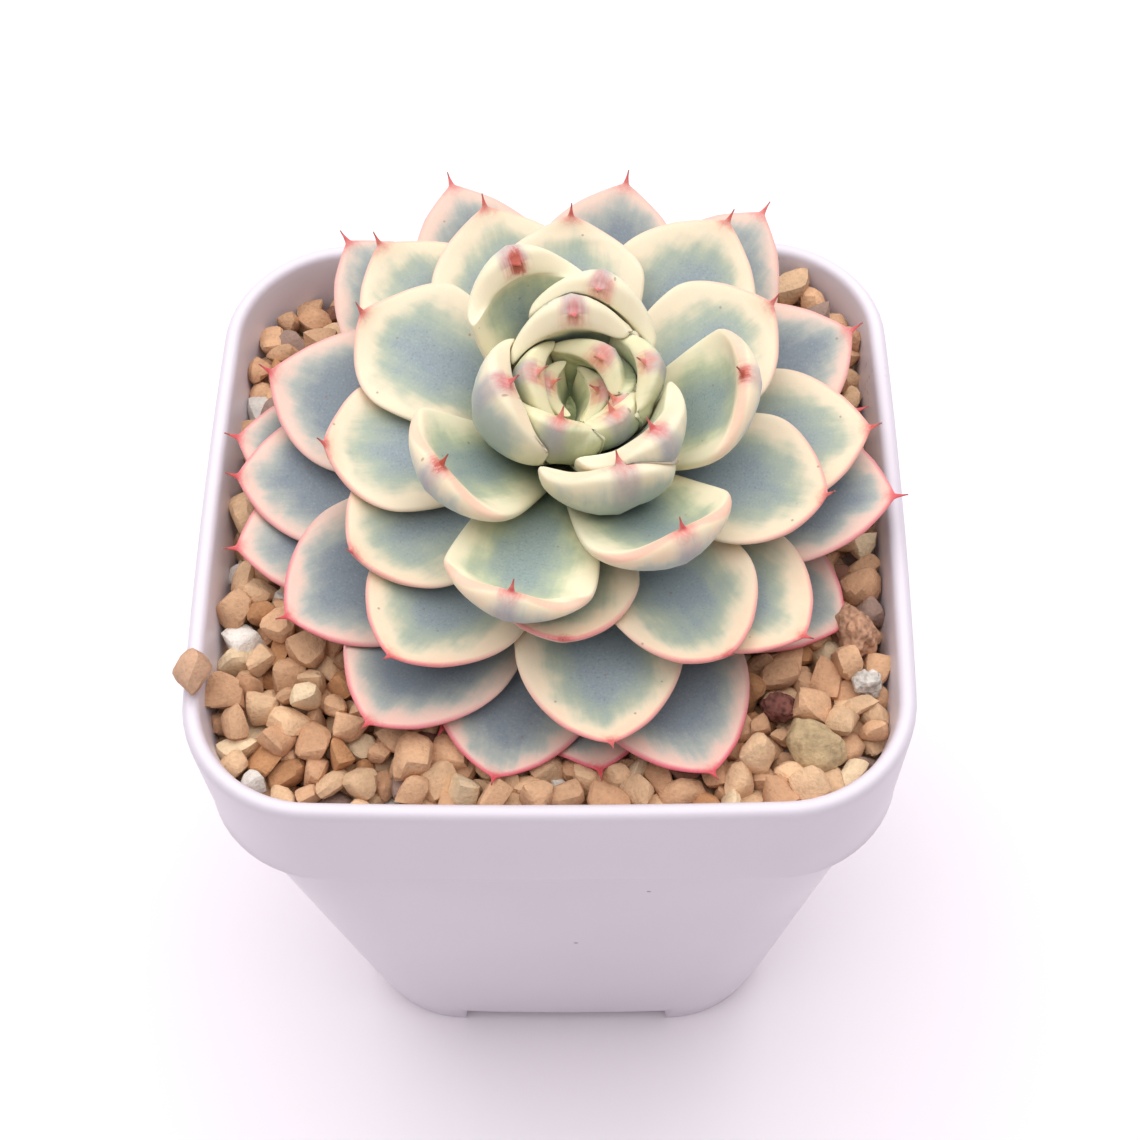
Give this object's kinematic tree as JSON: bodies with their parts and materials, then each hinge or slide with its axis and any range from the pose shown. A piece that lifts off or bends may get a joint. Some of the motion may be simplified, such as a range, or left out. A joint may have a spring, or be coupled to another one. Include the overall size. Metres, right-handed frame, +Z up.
{
  "type": "potted succulent",
  "caption": "Variegated rosette succulent with pointed fleshy leaves, on a short stem in soil topped with gravel, in a square tapered plastic pot.",
  "frame": {"origin": "middle of the pot's base, on the surface that its feet stand on", "axes": "+Z up through the pot, +Y to the back, +X to the right"},
  "size_m": [0.08, 0.08, 0.1119],
  "materials": {
    "pot_plastic": "satin white moulded plastic",
    "potting_mix": "dark crumbly potting mix",
    "gravel": "matte fired clay grains, tan to ochre",
    "stem_skin": "short green-brown plant stem",
    "leaf_young": "waxy bloom, pale cream green with red points",
    "leaf_variegated": "waxy bloom, grey-green middle with cream margins and pink edge",
    "leaf_mature": "waxy bloom, grey-green middle with pinkish cream margins and pink edge",
    "stone_porous": "matte porous brown stone",
    "stone_round": "matte rounded olive-brown stone",
    "stone_dark": "matte dark red-brown stone",
    "stone_pale": "matte pale grey stone"
  },
  "bodies": {
    "root": {"pot": "pot_plastic", "soil": "potting_mix", "gravel_layer": "gravel", "stem": "stem_skin", "leaf_core_01": "leaf_young", "leaf_core_02": "leaf_young", "leaf_core_03": "leaf_young", "leaf_heart_01": "leaf_young", "leaf_heart_02": "leaf_young", "leaf_heart_03": "leaf_young", "leaf_heart_04": "leaf_young", "leaf_heart_05": "leaf_young", "leaf_bud_01": "leaf_young", "leaf_bud_02": "leaf_young", "leaf_bud_03": "leaf_young", "leaf_bud_04": "leaf_young", "leaf_bud_05": "leaf_young", "leaf_bud_06": "leaf_young", "leaf_crown_01": "leaf_young", "leaf_crown_02": "leaf_young", "leaf_crown_03": "leaf_young", "leaf_crown_04": "leaf_young", "leaf_upper_01": "leaf_variegated", "leaf_upper_02": "leaf_variegated", "leaf_upper_03": "leaf_variegated", "leaf_upper_04": "leaf_variegated", "leaf_upper_05": "leaf_variegated", "leaf_upper_06": "leaf_variegated", "leaf_upper_07": "leaf_variegated", "leaf_upper_08": "leaf_variegated", "leaf_middle_01": "leaf_variegated", "leaf_middle_02": "leaf_variegated", "leaf_middle_03": "leaf_variegated", "leaf_middle_04": "leaf_variegated", "leaf_middle_05": "leaf_variegated", "leaf_middle_06": "leaf_variegated", "leaf_middle_07": "leaf_variegated", "leaf_lower_01": "leaf_mature", "leaf_lower_02": "leaf_mature", "leaf_lower_03": "leaf_mature", "leaf_lower_04": "leaf_mature", "leaf_lower_05": "leaf_mature", "leaf_lower_06": "leaf_mature", "leaf_lower_07": "leaf_mature", "leaf_lower_08": "leaf_mature", "leaf_lower_09": "leaf_mature", "leaf_base_01": "leaf_mature", "leaf_base_02": "leaf_mature", "leaf_base_03": "leaf_mature", "leaf_base_04": "leaf_mature", "leaf_base_05": "leaf_mature", "leaf_base_06": "leaf_mature", "leaf_base_07": "leaf_mature", "leaf_base_08": "leaf_mature", "leaf_base_09": "leaf_mature", "leaf_base_10": "leaf_mature", "stone_porous": "stone_porous", "stone_round": "stone_round", "stone_dark": "stone_dark", "stone_pale": "stone_pale"}
  },
  "joints": []
}
